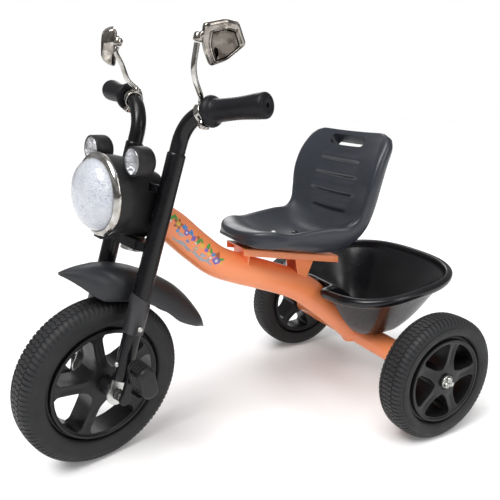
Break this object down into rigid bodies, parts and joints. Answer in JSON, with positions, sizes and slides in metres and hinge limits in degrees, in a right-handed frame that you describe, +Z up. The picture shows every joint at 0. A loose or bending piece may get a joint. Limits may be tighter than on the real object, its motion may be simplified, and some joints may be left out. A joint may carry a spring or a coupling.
{
  "type": "children's tricycle",
  "caption": "Children's tricycle with a bent tube frame, moulded bucket seat, rear basket, pointed fender, front lamp unit, mirrors, and pedals on the front wheel.",
  "frame": {"origin": "bottom centre of the whole object's box at rest, on the ground under the tyres", "axes": "+Z up, -Y the way the rider faces, +X the rider's left"},
  "size_m": [0.4572, 0.7322, 0.6172],
  "materials": {
    "orange_paint": "satin",
    "black_paint": "gloss",
    "black_plastic": "matte",
    "grey_plastic": "satin",
    "basket_plastic": "gloss",
    "tyre": "matte",
    "grip_rubber": "matte",
    "wheel_plastic": "satin",
    "chrome": "polished",
    "steel": "zinc plated",
    "nylon": "matte",
    "mirror_glass": "polished",
    "clear_lens": "clear"
  },
  "bodies": {
    "frame": {"frame_tube": "orange_paint", "head_bush_lower": "nylon", "head_bush_upper": "nylon", "rear_beam": "orange_paint", "beam_plug_left": "black_plastic", "beam_plug_right": "black_plastic", "rear_axle": "steel", "seat_bracket": "orange_paint", "seat_shell": "grey_plastic", "seat_bolt_front": "steel", "seat_bolt_rear": "steel", "basket": "basket_plastic"},
    "steering": {"fork_leg_left": "black_paint", "fork_leg_right": "black_paint", "dropout_left": "steel", "dropout_right": "steel", "dropout_bolt_left": "steel", "dropout_bolt_right": "steel", "fork_bush_left": "nylon", "fork_bush_right": "nylon", "fender_rivet_left": "steel", "fender_rivet_right": "steel", "front_fender": "grey_plastic", "crown_upper": "black_paint", "crown_lower": "black_paint", "steering_stem": "steel", "stem_nut": "steel", "handlebar_left": "black_paint", "handlebar_right": "black_paint", "grip_left": "grip_rubber", "grip_right": "grip_rubber", "mirror_arm_left": "chrome", "mirror_arm_right": "chrome", "headlight_housing": "black_plastic", "headlight_bezel": "chrome", "headlight_reflector": "chrome", "headlight_lens": "clear_lens", "spot_barrel_left": "black_plastic", "spot_barrel_right": "black_plastic", "spot_lens_left": "clear_lens", "spot_lens_right": "clear_lens"},
    "front_wheel": {"front_tyre": "tyre", "front_rim": "wheel_plastic", "crank_axle": "steel", "crank_left": "black_paint", "crank_right": "black_paint"},
    "left_pedal": {"pedal_left": "black_plastic"},
    "right_pedal": {"pedal_right": "black_plastic"},
    "rear_wheel_left": {"rear_tyre_left": "tyre", "rear_rim_left": "wheel_plastic", "rear_bush_left": "nylon", "axle_cap_left": "steel"},
    "rear_wheel_right": {"rear_tyre_right": "tyre", "rear_rim_right": "wheel_plastic", "rear_bush_right": "nylon", "axle_cap_right": "steel"},
    "left_mirror": {"mirror_head_left": "chrome", "mirror_glass_left": "mirror_glass"},
    "right_mirror": {"mirror_head_right": "chrome", "mirror_glass_right": "mirror_glass"}
  },
  "joints": [
    {"name": "steer", "type": "hinge", "parent": "frame", "child": "steering", "pos_m": [0, -0.243, 0.12405], "axis": [0, 0.3007, 0.9537], "range_deg": [-54, 25]},
    {"name": "front_wheel_spin", "type": "hinge", "parent": "steering", "child": "front_wheel", "pos_m": [0, -0.243, 0.12405], "axis": [0.9668, 0.2436, -0.0768], "continuous": true},
    {"name": "left_pedal_spin", "type": "hinge", "parent": "front_wheel", "child": "left_pedal", "pos_m": [0, -0.23007, 0.16506], "axis": [0.9668, 0.2436, -0.0768], "continuous": true},
    {"name": "right_pedal_spin", "type": "hinge", "parent": "front_wheel", "child": "right_pedal", "pos_m": [0, -0.25593, 0.08304], "axis": [0.9668, 0.2436, -0.0768], "continuous": true},
    {"name": "rear_wheel_left_spin", "type": "hinge", "parent": "frame", "child": "rear_wheel_left", "pos_m": [0.1964, 0.227, 0.0989], "axis": [1, 0, 0], "continuous": true},
    {"name": "rear_wheel_right_spin", "type": "hinge", "parent": "frame", "child": "rear_wheel_right", "pos_m": [-0.1964, 0.227, 0.0989], "axis": [1, 0, 0], "continuous": true},
    {"name": "left_mirror_swivel", "type": "hinge", "parent": "steering", "child": "left_mirror", "pos_m": [0.09871, -0.11473, 0.58344], "axis": [0, 0.3007, 0.9537], "range_deg": [-30, 30]},
    {"name": "right_mirror_swivel", "type": "hinge", "parent": "steering", "child": "right_mirror", "pos_m": [-0.07835, -0.16113, 0.58737], "axis": [0, 0.3007, 0.9537], "range_deg": [-30, 30]}
  ]
}
